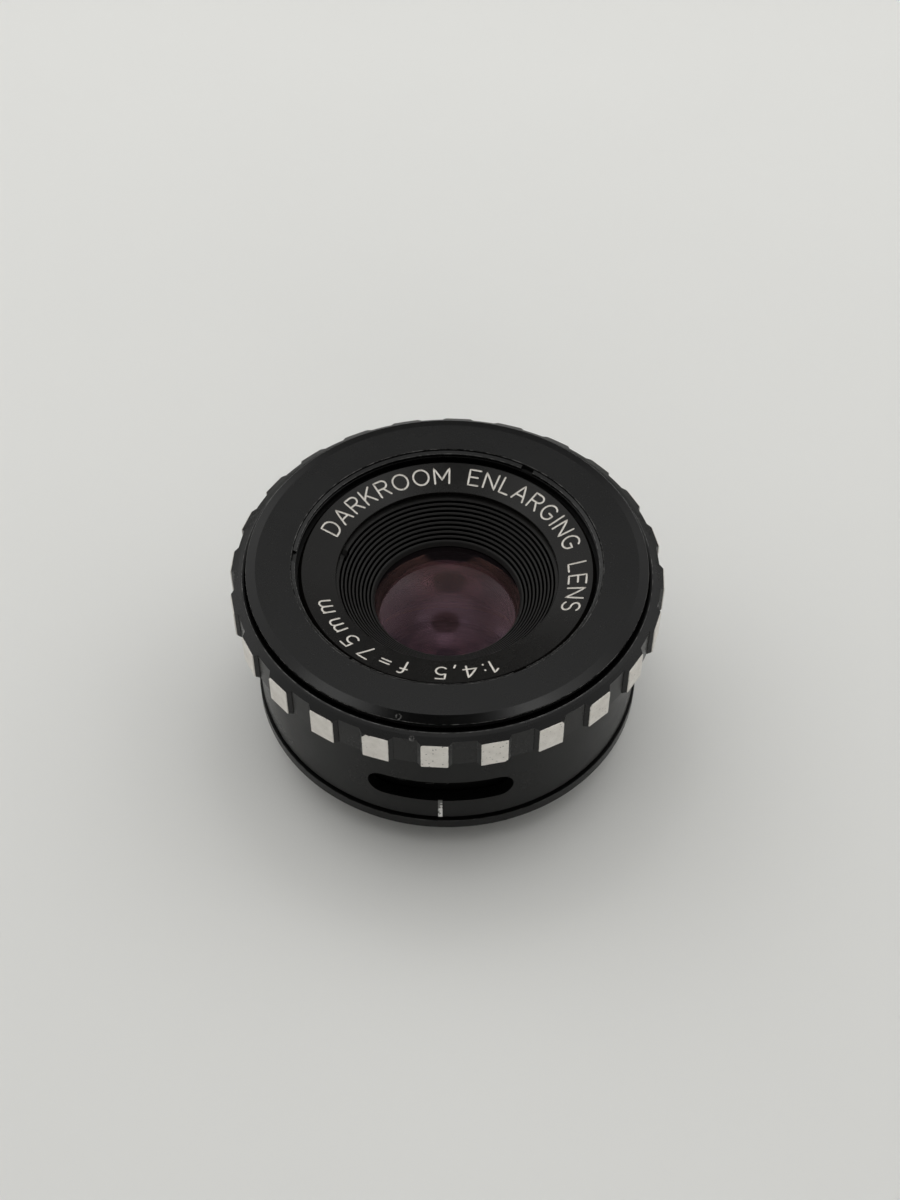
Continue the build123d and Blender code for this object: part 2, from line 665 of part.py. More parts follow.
with BuildPart() as aperture_ring:
    with BuildSketch(Plane.XY.offset(RING_BOTTOM)):
        Circle(RECESS_RADIUS)
        with PolarLocations(0, FACET_COUNT, start_angle=first_land):
            Polygon(
                (LAND_ROOT - 0.6, -LAND_HALF_FOOT),
                (LAND_ROOT, -LAND_HALF_FOOT),
                (LAND_TOP, -LAND_HALF_TOP),
                (LAND_TOP, LAND_HALF_TOP),
                (LAND_ROOT, LAND_HALF_FOOT),
                (LAND_ROOT - 0.6, LAND_HALF_FOOT),
                align=None,
            )
    extrude(amount=RING_TOP - RING_BOTTOM)
    # the shoulder slopes gently outwards, and steeply inwards under the bezel
    turn(
        (RING_BORE, RING_BOTTOM),
        (FACET_APOTHEM + 0.2, RING_BOTTOM),
        (FACET_APOTHEM + 0.2, RING_SHOULDER - 0.1),
        (24.05, RING_TOP - 0.16),
        (23.75, RING_TOP - 0.04),
        (23.55, RING_TOP),
        (23.35, RING_TOP - 0.06),
        (22.5, RING_TOP - 0.8),
        (22.2, BORE_TOP),
        (RING_BORE, BORE_TOP),
        mode=Mode.INTERSECT,
    )
    for azimuth in SCREW_AZIMUTHS:
        drill(azimuth, FACET_APOTHEM + 1, DRUM_OUTER - 1, SCREW_HEIGHT, SCREW_RADIUS + SEAT_GAP)
save(aperture_ring.part, "aperture_ring")

with BuildPart() as grip_inlays:
    with BuildSketch(Plane.XY.offset(RING_BOTTOM)):
        with PolarLocations(0, FACET_COUNT, start_angle=first_land):
            Polygon(
                (LAND_TOP, -LAND_HALF_TOP),
                (FACET_APOTHEM, -LAND_HALF_TOP),
                (FACET_APOTHEM, LAND_HALF_TOP),
                (LAND_TOP, LAND_HALF_TOP),
                align=None,
            )
    extrude(amount=RING_SHOULDER - RING_BOTTOM)
save(grip_inlays.part, "grip_inlays")

with BuildPart() as ring_set_screws:
    screw_head = RECESS_RADIUS - 0.3
    for azimuth in SCREW_AZIMUTHS:
        drill(azimuth, screw_head, DRUM_INNER + 0.1, SCREW_HEIGHT, SCREW_RADIUS, mode=Mode.ADD)
        with Locations(side_plane(azimuth, screw_head, SCREW_HEIGHT)):
            Box(3, 0.25, 0.9, mode=Mode.SUBTRACT)
save(ring_set_screws.part, "ring_set_screws")
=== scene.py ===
import math
import random

import bmesh
import bpy
from mathutils import Euler, Matrix, Vector


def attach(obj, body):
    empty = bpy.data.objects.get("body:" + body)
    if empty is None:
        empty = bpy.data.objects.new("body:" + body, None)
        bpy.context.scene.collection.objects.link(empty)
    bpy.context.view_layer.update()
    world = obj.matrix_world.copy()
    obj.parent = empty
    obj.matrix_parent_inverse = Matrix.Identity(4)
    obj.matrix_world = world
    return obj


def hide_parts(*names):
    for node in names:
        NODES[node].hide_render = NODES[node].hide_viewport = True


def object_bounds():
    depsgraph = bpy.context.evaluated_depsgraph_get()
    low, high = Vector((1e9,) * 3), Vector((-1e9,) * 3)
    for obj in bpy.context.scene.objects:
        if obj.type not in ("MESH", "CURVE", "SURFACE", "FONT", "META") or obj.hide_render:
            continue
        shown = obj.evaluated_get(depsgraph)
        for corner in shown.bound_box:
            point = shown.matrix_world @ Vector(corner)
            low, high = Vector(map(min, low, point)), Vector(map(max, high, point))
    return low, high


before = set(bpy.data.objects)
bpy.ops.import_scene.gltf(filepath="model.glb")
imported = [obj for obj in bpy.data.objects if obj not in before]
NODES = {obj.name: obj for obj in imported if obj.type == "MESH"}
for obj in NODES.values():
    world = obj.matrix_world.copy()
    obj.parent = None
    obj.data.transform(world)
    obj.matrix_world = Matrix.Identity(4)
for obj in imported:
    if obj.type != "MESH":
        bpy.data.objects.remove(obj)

CAD_BOX = [list(corner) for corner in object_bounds()]
MM = 0.001


# ---- shader trees --------------------------------------------------------------------------------
class Shader:
    """A material made of nodes, with short calls for the few kinds of node used here."""

    def __init__(self, name, **inputs):
        self.material = bpy.data.materials.new(name)
        self.material.use_nodes = True
        self.tree = self.material.node_tree
        self.surface = self.tree.nodes["Principled BSDF"]
        for setting, value in inputs.items():
            socket = setting.replace("_", " ").title().replace("Ior", "IOR")
            self.surface.inputs[socket].default_value = value
        self._place = None

    def node(self, kind, inputs=(), **settings):
        node = self.tree.nodes.new("ShaderNode" + kind)
        for name, value in settings.items():
            setattr(node, name, value)
        for name, value in dict(inputs).items():
            self.feed(node.inputs[name], value)
        return node

    def feed(self, socket, value):
        if isinstance(value, bpy.types.NodeSocket):
            self.tree.links.new(value, socket)
        else:
            socket.default_value = value

    def put(self, socket, value):
        """Link a value to one of the surface's sockets."""
        self.feed(self.surface.inputs[socket], value)

    def math(self, operation, a, b=0.0, c=0.0, clamp=False):
        inputs = {0: a, 1: b, 2: c}
        return self.node("Math", inputs, operation=operation, use_clamp=clamp).outputs[0]

    def place(self):
        """Object coordinates in millimetres."""
        if self._place is None:
            source = self.node("TexCoord").outputs["Object"]
            scaled = self.node("VectorMath", {0: source, "Scale": 1 / MM}, operation="SCALE")
            self._place = scaled.outputs[0]
        return self._place

    def polar(self):
        """Radius and height in millimetres, and the angle about the axis in radians."""
        split = self.node("SeparateXYZ", {0: self.place()}).outputs
        flat = self.math("ADD", self.math("POWER", split[0], 2.0), self.math("POWER", split[1], 2.0))
        return self.math("SQRT", flat), split[2], self.math("ARCTAN2", split[1], split[0])

    def vector(self, x, y, z):
        return self.node("CombineXYZ", {0: x, 1: y, 2: z}).outputs[0]

    def noise(self, scale, detail=3.0, rough=0.5, at=None):
        inputs = {"Vector": self.place() if at is None else at, "Scale": scale, "Detail": detail}
        return self.node("TexNoise", {**inputs, "Roughness": rough}).outputs[0]

    def span(self, value, low, high, to_low=0.0, to_high=1.0):
        inputs = {0: value, 1: low, 2: high, 3: to_low, 4: to_high}
        return self.node("MapRange", inputs, clamp=True).outputs[0]

    def blend(self, share, first, second):
        node = self.node("Mix", data_type="RGBA")
        for socket, value in ((0, share), (6, first), (7, second)):
            self.feed(node.inputs[socket], value)
        return node.outputs[2]

    def bump(self, *layers):
        """Bump layers, each a (height, depth in millimetres) pair, on the surface's normal."""
        normal = None
        for height, depth in layers:
            bump = self.node("Bump", {"Height": height, "Distance": depth * MM})
            if normal is not None:
                self.feed(bump.inputs["Normal"], normal)
            normal = bump.outputs[0]
        self.put("Normal", normal)


def grey(level, warmth=0.0):
    """A grey, a little redder than neutral where warmth is above 0."""
    return (level * (1 + warmth), level, level * (1 - warmth), 1.0)


def specks(shader, spacing, size, share):
    """Sparse round specks: 1 inside a speck. share is the part of the cells that holds one."""
    cells = shader.node("TexVoronoi", {"Vector": shader.place(), "Scale": 1 / spacing})
    near = shader.math("LESS_THAN", cells.outputs["Distance"], size / spacing)
    chance = shader.node("SeparateColor", {0: cells.outputs["Color"]}).outputs[0]
    chosen = shader.math("LESS_THAN", chance, share)
    return shader.math("MULTIPLY", near, chosen)


def edge_wear_and_glint(shader, edges):
    """Broken-up light wear along turned edges, each a (radius, height, width) in millimetres; at the
    bezel's opening the same light line is a painted glint.
    """
    radius, height = shader.polar()[:2]
    total = 0.0
    for edge_radius, edge_height, width in edges:
        across = shader.math("POWER", shader.math("SUBTRACT", radius, edge_radius), 2.0)
        along = shader.math("POWER", shader.math("SUBTRACT", height, edge_height), 2.0)
        away = shader.math("SQRT", shader.math("ADD", across, along))
        total = shader.math("ADD", total, shader.span(away, width, 0.0), clamp=True)
    broken = shader.span(shader.noise(1.1, 5.0, 0.65), 0.42, 0.68)
    return shader.math("MULTIPLY", total, broken)


def nicks(shader, places):
    """Small bright-rimmed dents, each an (x, y, z, size) in millimetres."""
    total = 0.0
    ragged = shader.noise(3.0, 4.0, 0.7)
    for x, y, z, size in places:
        ends = {0: shader.place(), 1: (x, y, z)}
        away = shader.node("VectorMath", ends, operation="DISTANCE").outputs["Value"]
        rim = shader.math("ABSOLUTE", shader.math("SUBTRACT", away, size))
        total = shader.math("ADD", total, shader.span(rim, size * 0.45, 0.0), clamp=True)
    return shader.math("MULTIPLY", total, shader.span(ragged, 0.45, 0.62))


TURNED_RINGS, TURNED_ARCS = 9.0, 0.35  # the turning marks' noise, per millimetre and per radian
RING_BUMP, GRAIN_BUMP = 0.004, 0.003  # depths in millimetres
BARE_METAL, METAL_WARMTH, DUST_LEVEL = 0.22, 0.02, 0.45
DUST_SPACING, DUST_SIZE, DUST_SHARE, DUST_COVER = 2.6, 0.045, 0.10, 0.5
RIM_SMOOTHER, RIM_BLUR = 0.55, 0.04


def black_metal(name, level, rough, ior=1.38, edges=(), rings=0.4, warmth=0.0, marks=(), rim=None):
    """Satin black anodised aluminium: fine turned rings, grain, handling marks, dust and worn edges; one
    edge on the bezel is a painted glint instead of wear.
    """
    shader = Shader(name, metallic=0.0, ior=ior)
    radius, height, angle = shader.polar()
    smudge = shader.noise(0.16, 4.0, 0.6)
    fine = shader.noise(7.0, 4.0, 0.6)
    turned_at = shader.vector(
        shader.math("MULTIPLY", radius, TURNED_RINGS),
        shader.math("MULTIPLY", height, TURNED_RINGS),
        shader.math("MULTIPLY", angle, TURNED_ARCS),
    )
    turned = shader.noise(1.0, 2.0, 0.5, at=turned_at)
    colour = shader.blend(smudge, grey(level * 0.8, warmth), grey(level * 1.25, warmth))
    # light edges: mostly wear, but the bezel's opening edge is a painted highlight
    if edges:
        colour = shader.blend(edge_wear_and_glint(shader, edges), colour, grey(BARE_METAL, METAL_WARMTH))
    if marks:
        colour = shader.blend(nicks(shader, marks), colour, grey(BARE_METAL, METAL_WARMTH))
    dust = specks(shader, DUST_SPACING, DUST_SIZE, DUST_SHARE)
    colour = shader.blend(shader.math("MULTIPLY", dust, DUST_COVER), colour, grey(DUST_LEVEL))
    shader.put("Base Color", colour)
    handled = shader.math("MULTIPLY_ADD", fine, 0.4, smudge)
    gloss = shader.span(handled, 0.4, 1.0, rough - 0.06, rough + 0.08)
    if rim:
        # the turned bevel outside this radius is smoother than the face
        beyond = shader.span(radius, rim - RIM_BLUR, rim + RIM_BLUR)
        smoother = shader.math("MULTIPLY_ADD", beyond, -RIM_SMOOTHER, 1.0)
        gloss = shader.math("MULTIPLY", gloss, smoother)
    shader.put("Roughness", gloss)
    shader.bump((turned, RING_BUMP * rings), (fine, GRAIN_BUMP))
    return shader.material


CLEAN_WHITE, DIRTY_WHITE = (0.76, 0.73, 0.685, 1), (0.64, 0.61, 0.565, 1)
PORE_COLOUR, FLECK_COLOUR = (0.30, 0.29, 0.27, 1), (0.16, 0.155, 0.15, 1)


def white_paint(name):
    """Matt white paint with pores, dark flecks in patches and a little dirt."""
    shader = Shader(name, ior=1.45)
    pores = shader.noise(4.5, 4.0, 0.7)
    dirt = shader.noise(0.8, 3.0, 0.6)
    colour = shader.blend(shader.span(dirt, 0.35, 0.75), CLEAN_WHITE, DIRTY_WHITE)
    colour = shader.blend(shader.span(pores, 0.64, 0.72), colour, PORE_COLOUR)
    flecks = specks(shader, 0.36, 0.09, 0.30)
    patchy = shader.span(shader.noise(0.13, 2.0, 0.5), 0.42, 0.62, 0.1, 0.8)
    colour = shader.blend(shader.math("MULTIPLY", flecks, patchy), colour, FLECK_COLOUR)
    shader.put("Base Color", colour)
    shader.put("Roughness", shader.span(dirt, 0.3, 0.7, 0.45, 0.65))
    shader.bump((pores, 0.01))
    return shader.material


def index_paint(name):
    """The index line's silver-white paint, rubbed thin in its upper half."""
    shader = Shader(name, ior=1.45)
    height = shader.polar()[1]
    thin = shader.span(height, 3.0, 4.9, 0.0, 0.22)
    wear = shader.math("ADD", shader.noise(2.2, 3.0, 0.6), thin)
    gone = shader.span(wear, 0.50, 0.62)
    shader.put("Base Color", shader.blend(gone, (0.72, 0.72, 0.70, 1), (0.12, 0.12, 0.115, 1)))
    shader.put("Roughness", shader.span(wear, 0.3, 0.7, 0.4, 0.6))
    shader.bump((wear, 0.015))
    return shader.material


def steel(name, level, rough):
    """Turned or drawn steel with fine streaks."""
    shader = Shader(name, metallic=1.0)
    streaks = shader.noise(5.0, 3.0, 0.6)
    shader.put("Base Color", shader.blend(streaks, grey(level * 0.85), grey(level * 1.15)))
    shader.put("Roughness", shader.span(streaks, 0.3, 0.7, rough - 0.05, rough + 0.05))
    shader.bump((streaks, 0.003))
    return shader.material


def brass(name):
    """Turned brass with fine streaks."""
    shader = Shader(name, metallic=1.0)
    streaks = shader.noise(4.0, 3.0, 0.6)
    shader.put("Base Color", shader.blend(streaks, (0.55, 0.41, 0.18, 1), (0.68, 0.52, 0.25, 1)))
    shader.put("Roughness", shader.span(streaks, 0.3, 0.7, 0.28, 0.42))
    shader.bump((streaks, 0.004))
    return shader.material


def glass(name, ior, coat=(1.0, 1.0, 1.0), tint=(1.0, 1.0, 1.0), veil=0.0):
    """Optical glass. coat is what its coating reflects, tint the colour it gives light passing through
    (on the front and rear glasses a painted shade), veil the share of light its dust scatters.
    """
    shader = Shader(name, transmission_weight=1.0 - veil, ior=ior, roughness=0.0)
    shader.surface.inputs["Specular Tint"].default_value = (*coat, 1)
    haze = shader.noise(0.5, 4.0, 0.6)
    hazed = tuple(channel * 0.97 for channel in tint)
    shader.put("Base Color", shader.blend(haze, (*hazed, 1), (*tint, 1)))
    return shader.material


# ---- mesh helpers --------------------------------------------------------------------------------
def finish_piece(name, mesh, materials, body, replaced=(), sharp=35.0):
    """Turn a bmesh into a piece that rides on a body and takes the place of CAD nodes."""
    bmesh.ops.recalc_face_normals(mesh, faces=mesh.faces)
    data = bpy.data.meshes.new(name)
    mesh.to_mesh(data)
    mesh.free()
    return finish_data(name, data, materials, body, replaced, sharp)


def finish_data(name, data, materials, body, replaced=(), sharp=35.0):
    """Put mesh data in the scene as a piece; edges over sharp degrees stay crisp."""
    data.shade_smooth()
    data.set_sharp_from_angle(angle=math.radians(sharp))
    piece = bpy.data.objects.new(name, data)
    bpy.context.scene.collection.objects.link(piece)
    for number, material in enumerate(materials):
        if number < len(data.materials):
            data.materials[number] = material
        else:
            data.materials.append(material)
    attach(piece, body)
    if replaced:
        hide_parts(*replaced)
    return piece


def turned(outline, segments, bulge=None, closed=True):
    """Turn a (radius, height) outline about the axis. bulge(radius, height, angle) adds to a radius."""
    mesh = bmesh.new()
    columns = []
    for number in range(segments):
        angle = 2 * math.pi * number / segments
        column = []
        for radius, height in outline:
            wide = radius + (bulge(radius, height, angle) if bulge else 0.0)
            place = Vector((wide * math.cos(angle), wide * math.sin(angle), height))
            column.append(mesh.verts.new(place * MM))
        columns.append(column)
    for number, column in enumerate(columns):
        beside = columns[(number + 1) % segments]
        for row in range(len(outline) if closed else len(outline) - 1):
            below = (row + 1) % len(outline)
            mesh.faces.new((column[row], column[below], beside[below], beside[row]))
    return mesh


# ---- single-line lettering, as a pantograph engraves it ------------------------------------------
ARC_STEP = 18  # degrees


def arc(x, y, radius_x, radius_y, start, end):
    """Points along an ellipse about (x, y), between two angles in degrees."""
    steps = max(2, math.ceil(abs(end - start) / ARC_STEP))
    angles = [math.radians(start + (end - start) * step / steps) for step in range(steps + 1)]
    return [(x + radius_x * math.cos(angle), y + radius_y * math.sin(angle)) for angle in angles]


# each sign is its width and its strokes, for a capital's height of 1
SIGNS = {
    "A": (0.82, [[(0, 0), (0.41, 1), (0.82, 0)], [(0.13, 0.32), (0.69, 0.32)]]),
    "D": (0.76, [[(0, 0), (0, 1), *arc(0.30, 0.5, 0.46, 0.5, 90, -90), (0, 0)]]),
    "E": (0.62, [[(0.62, 1), (0, 1), (0, 0), (0.62, 0)], [(0, 0.52), (0.52, 0.52)]]),
    "G": (0.86, [[*arc(0.44, 0.5, 0.44, 0.5, 48, 322), (0.82, 0.46), (0.5, 0.46)]]),
    "I": (0.0, [[(0, 0), (0, 1)]]),
    "K": (0.70, [[(0, 0), (0, 1)], [(0.66, 1), (0, 0.36)], [(0.24, 0.6), (0.70, 0)]]),
    "L": (0.58, [[(0, 1), (0, 0), (0.58, 0)]]),
    "M": (0.90, [[(0, 0), (0, 1), (0.45, 0.22), (0.90, 1), (0.90, 0)]]),
    "N": (0.74, [[(0, 0), (0, 1), (0.74, 0), (0.74, 1)]]),
    "O": (0.94, [arc(0.47, 0.5, 0.47, 0.5, 90, 450)]),
    "R": (0.70, [[(0, 0), (0, 1), *arc(0.41, 0.745, 0.27, 0.255, 90, -90), (0, 0.49)],
                 [(0.36, 0.49), (0.7, 0)]]),
    "S": (0.64, [arc(0.32, 0.75, 0.29, 0.25, 35, 270) + arc(0.32, 0.25, 0.32, 0.25, 90, -150)[1:]]),
    "f": (0.42, [[*arc(0.34, 0.80, 0.18, 0.20, 60, 180), (0.16, 0)], [(0, 0.62), (0.38, 0.62)]]),
    "m": (0.92, [[(0, 0), (0, 0.68)], [*arc(0.23, 0.45, 0.23, 0.23, 180, 0), (0.46, 0)],
                 [*arc(0.69, 0.45, 0.23, 0.23, 180, 0), (0.92, 0)]]),
    "1": (0.26, [[(0, 0.76), (0.26, 1), (0.26, 0)]]),
    "2": (0.64, [[*arc(0.32, 0.70, 0.30, 0.30, 165, -30), (0, 0), (0.64, 0)]]),
    "4": (0.76, [[(0.56, 0), (0.56, 1), (0, 0.28), (0.76, 0.28)]]),
    "5": (0.62, [[(0.58, 1), (0.12, 1), (0.08, 0.55), *arc(0.30, 0.32, 0.32, 0.32, 125, -140)]]),
    "6": (0.64, [arc(0.32, 0.31, 0.32, 0.31, 0, 360), arc(0.70, 0.31, 0.70, 0.69, 110, 180)]),
    "7": (0.62, [[(0, 1), (0.62, 1), (0.2, 0)]]),
    "8": (0.64, [arc(0.32, 0.77, 0.25, 0.23, 90, 450), arc(0.32, 0.27, 0.32, 0.27, 90, 450)]),
    ":": (0.0, [[(0, 0.10), (0, 0.14)], [(0, 0.60), (0, 0.64)]]),
    ",": (0.08, [[(0.08, 0.06), (0, -0.16)]]),
    "=": (0.56, [[(0, 0.36), (0.56, 0.36)], [(0, 0.62), (0.56, 0.62)]]),
    " ": (0.5, []),
}


def written(text, height, spacing):
    """(strokes, length) of a line of text: points along and up from the start of its baseline."""
    strokes, along = [], 0.0
    for sign in text:
        width, lines = SIGNS[sign]
        for line in lines:
            strokes.append([(along + x * height, y * height) for x, y in line])
        along += width * height + spacing
    return strokes, along - spacing


def dense(line, reach):
    """The same stroke with points no further apart than reach."""
    points = [line[0]]
    for start, end in zip(line, line[1:]):
        pieces = max(1, math.ceil(math.dist(start, end) / reach))
        for step in range(1, pieces + 1):
            share = step / pieces
            points.append(tuple(a + (b - a) * share for a, b in zip(start, end)))
    return points


BEAD_SIDES = 10
# how far past a bead's end its last rings stand, and their size, both in shares of its radius
BEAD_END = ((0.72, 0.7), (0.98, 0.2))


def bead(mesh, places, ups, radius):
    """A round-ended rod through places; ups are the surface's normals there."""
    rings = []
    last = len(places) - 1

    def ring(centre, along, up, size):
        across = along.cross(up).normalized()
        above = across.cross(along).normalized()
        corners = []
        for side in range(BEAD_SIDES):
            turn = 2 * math.pi * (side + 0.5) / BEAD_SIDES
            spoke = across * math.cos(turn) + above * math.sin(turn)
            corners.append(mesh.verts.new((centre + spoke * size) * MM))
        return corners

    for number, (place, up) in enumerate(zip(places, ups)):
        along = (places[min(number + 1, last)] - places[max(number - 1, 0)]).normalized()
        if number == 0:
            for back, size in reversed(BEAD_END):
                rings.append(ring(place - along * radius * back, along, up, radius * size))
        rings.append(ring(place, along, up, radius))
        if number == last:
            for forth, size in BEAD_END:
                rings.append(ring(place + along * radius * forth, along, up, radius * size))
    for lower, upper in zip(rings, rings[1:]):
        for side in range(BEAD_SIDES):
            beside = (side + 1) % BEAD_SIDES
            mesh.faces.new((lower[side], lower[beside], upper[beside], upper[side]))
    mesh.faces.new(reversed(rings[0]))
    mesh.faces.new(rings[-1])


# ---- which material each piece wears -------------------------------------------------------------
UNDER_SHADE_TINT = (0.30, 0.25, 0.27)  # painted shade: the rear glasses are tinted dark to stand in for the shade under a lens that stands on a table, where little light comes back up
LOOKS = {
    # the bezel's second edge, round its opening's chamfer, is a painted highlight: a thin light line
    # standing in for the chamfer's glint
    "front_bezel": black_metal(
        "bezel_black", 0.002, 0.26, 1.30, [(23.1, 20.2, 0.06), (17.95, 20.42, 0.07)],
        marks=[(-4.4, -22.3, 20.3, 0.28)], rim=22.0
    ),
    "filter_ring": black_metal("filter_ring_black", 0.002, 0.26, 1.37, [(17.5, 20.05, 0.05)]),
    "name_ring": black_metal("name_ring_black", 0.003, 0.26, 1.28, warmth=0.15, rings=0.2),
    "front_baffle": black_metal("baffle_black", 0.020, 0.44, 1.26, warmth=0.03, rings=0.2),
    # painted shade: the baffle's grooves wear a darker, duller copy of its black
    "groove": black_metal("groove_painted_shade", 0.0006, 0.6, 1.08, rings=0.2),
    "aperture_ring": black_metal(
        "ring_black", 0.002, 0.27, 1.33, [(23.6, 19.4, 0.05)], marks=[(-2.9, -24.1, 18.95, 0.25)]
    ),
    "body_shell": black_metal("barrel_black", 0.002, 0.30, 1.285, [(22.7, 1.8, 0.05)]),
    "mount_flange": black_metal("flange_black", 0.002, 0.30, 1.27, [(23.0, 1.4, 0.05)]),
    "inner": black_metal("inner_black", 0.004, 0.5),
    "deep": black_metal("deep_black", 0.002, 0.5, 1.14),
    "scale_drum": black_metal("drum_black", 0.0012, 0.5, 1.15),
    "white": white_paint("facet_white"),
    "engraving": white_paint("engraving_white"),
    "figures": black_metal("figure_grey", 0.012, 0.5, 1.3),
    "index_mark": index_paint("index_white"),
    "dark_steel": steel("dark_steel", 0.08, 0.35),
    "bright_steel": steel("bright_steel", 0.5, 0.3),
    "blade_steel": steel("blade_steel", 0.40, 0.45),
    "brass": brass("turned_brass"),
    # painted shade: the front glass's dark purple-brown tint darkens what is seen through it, standing
    # in for the shade inside the lens
    "front_coat": glass("front_coat", 1.55, (0.18, 0.11, 0.16), (0.22, 0.16, 0.185), veil=0.02),
    "inner_coat": glass("inner_coat", 1.62, (0.68, 0.46, 0.32)),
    "middle_glass": glass("middle_coat", 1.58, (0.80, 0.45, 0.50), (0.85, 0.80, 0.80)),
    # the rear glasses and their cement carry the dark tint of painted shade
    "rear_glass": glass("rear_coat", 1.58, (0.60, 0.30, 0.35), UNDER_SHADE_TINT),
    "cement": glass("cemented_glass", 1.05, tint=UNDER_SHADE_TINT),
    "rim_black": black_metal("rim_black", 0.004, 0.6, 1.3),
}
WEARS = {
    "shell_lock_screw": "dark_steel", "main_barrel": "inner", "click_ball": "bright_steel",
    "click_spring": "bright_steel", "front_cell": "deep", "front_element": "front_coat",
    "element_spacer": "deep", "middle_element": "middle_glass", "iris_housing": "deep",
    "iris_snap_ring": "dark_steel", "rear_cell": "inner", "rear_flint_element": "rear_glass",
    "rear_crown_element": "rear_glass", "rear_retaining_ring": "inner", "grip_inlays": "white",
    "ring_set_screws": "dark_steel", "drive_pin": "dark_steel", "iris_cam_ring": "brass",
    **{f"iris_blade_{number}": "blade_steel" for number in range(1, 6)},
}


def wear(piece, material):
    """Give a piece this one material in place of those it has."""
    piece.data.materials.clear()
    piece.data.materials.append(material)


for node_name, node in NODES.items():
    wear(node, LOOKS[WEARS.get(node_name, node_name)])


# ---- the engraved ring: white-filled letters cut into its cone -----------------------------------
CONE_FOOT, CONE_HEAD = (12.90, 18.21), (17.10, 19.33)
CONE_SLOPE = (CONE_HEAD[1] - CONE_FOOT[1]) / (CONE_HEAD[0] - CONE_FOOT[0])
BASELINE, CAPITAL = 14.05, 2.0
TOOL_RADIUS, TOOL_LIFT, TOOL_STEP = 0.12, 0.03, 0.35
NAME_RING_BORE, NAME_RING_EDGE, NAME_RING_FOOT = 12.85, 17.15, 17.72
NAME_RING_CHAMFER, CHAMFER_DROP, BORE_DROP = 0.38, 0.5, 0.06
SEGMENTS = 240  # round the name ring and the flange
# each line of text, the azimuth where it starts and the degrees that it takes up, clockwise
ENGRAVING = (("DARKROOM ENLARGING LENS", -110.8, 181.0), ("1:4,5", 23.2, 26.0), ("f=75mm", -14.8, 55.0))


def on_cone(along, up, start):
    """Place and normal on the cone for a point of a text line that starts at an azimuth."""
    azimuth = math.radians(start) - along / (BASELINE + CAPITAL / 2)
    outward = Vector((math.sin(azimuth), -math.cos(azimuth), 0))
    normal = (Vector((0, 0, 1)) - outward * CONE_SLOPE).normalized()
    radius = BASELINE + up
    height = CONE_FOOT[1] + (radius - CONE_FOOT[0]) * CONE_SLOPE
    return outward * radius + Vector((0, 0, height)) + normal * TOOL_LIFT, normal


def engraving_tool():
    """The engraver's cuts, as one object that the ring is cut with."""
    mesh = bmesh.new()
    for text, start, sweep in ENGRAVING:
        room = math.radians(sweep) * (BASELINE + CAPITAL / 2)
        spacing = (room - written(text, CAPITAL, 0.0)[1]) / (len(text) - 1)
        for line in written(text, CAPITAL, spacing)[0]:
            spots = [on_cone(along, up, start) for along, up in dense(line, TOOL_STEP)]
            bead(mesh, [spot for spot, normal in spots], [normal for spot, normal in spots], TOOL_RADIUS)
    bmesh.ops.recalc_face_normals(mesh, faces=mesh.faces)
    data = bpy.data.meshes.new("engraving_tool")
    mesh.to_mesh(data)
    mesh.free()
    data.materials.append(LOOKS["engraving"])
    return bpy.data.objects.new("engraving_tool", data)


def make_name_ring():
    """The cone, with a chamfered outer edge that leaves a dark line inside the filter ring."""
    chamfer = NAME_RING_EDGE - NAME_RING_CHAMFER
    outline = [(NAME_RING_BORE, NAME_RING_FOOT), (NAME_RING_EDGE, NAME_RING_FOOT)]
    outline += [(NAME_RING_EDGE, CONE_HEAD[1] - CHAMFER_DROP)]
    outline += [(chamfer, CONE_FOOT[1] + (chamfer - CONE_FOOT[0]) * CONE_SLOPE)]
    outline += [CONE_FOOT, (NAME_RING_BORE, CONE_FOOT[1] - BORE_DROP)]
    blank = bpy.data.objects.new("name_ring_blank", bpy.data.meshes.new("name_ring_blank"))
    mesh = turned(outline, SEGMENTS)
    bmesh.ops.recalc_face_normals(mesh, faces=mesh.faces)
    mesh.to_mesh(blank.data)
    mesh.free()
    blank.data.materials.append(LOOKS["name_ring"])
    tool = engraving_tool()
    for thing in (blank, tool):
        bpy.context.scene.collection.objects.link(thing)
    cut = blank.modifiers.new("engrave", "BOOLEAN")
    cut.operation, cut.solver, cut.object = "DIFFERENCE", "EXACT", tool
    cut.use_self, cut.material_mode = True, "TRANSFER"
    bpy.context.view_layer.update()
    engraved = blank.evaluated_get(bpy.context.evaluated_depsgraph_get())
    data = bpy.data.meshes.new_from_object(engraved)
    for thing in (blank, tool):
        bpy.data.objects.remove(thing)
    materials = [LOOKS["name_ring"], LOOKS["engraving"]]
    return finish_data("name_ring_engraved", data, materials, "barrel", ["name_ring"], 30)


make_name_ring()


# ---- the mounting flange, with a real screw thread -----------------------------------------------
PITCH = 25.4 / 26
THREAD_CREST, THREAD_ROOT = 19.5, 18.95
THREAD_END, THREAD_TOP, RUN_OUT = -4.0, -0.35, 0.45
THREAD_LEAD = 0.4  # the chamfer at the thread's end
FLANK_SLOPE, ROOT_FLAT = 2.5, 0.12
ROWS_PER_PITCH = 18
FLANGE_RADIUS, FLANGE_TOP, FLANGE_BREAK = 23.0, 1.42, 0.06
NECK_RADIUS, NECK_TOP = 22.1, 1.76
FLANGE_BORE, WEB_FOOT, THREAD_BORE = 10.9, -1.2, 17.2


def thread_cut(radius, height, angle):
    """How far the thread is cut below its crest at a place on the thread's wall, as a negative."""
    if abs(radius - THREAD_CREST) > 0.01 or height > THREAD_TOP:
        return 0.0
    phase = (height / PITCH - angle / (2 * math.pi)) % 1.0
    flank = min(1.0, max(0.0, abs(phase - 0.5) * FLANK_SLOPE - ROOT_FLAT))
    fading = min(1.0, (THREAD_TOP - height) / RUN_OUT)
    return -(THREAD_CREST - THREAD_ROOT) * (1 - flank) * fading


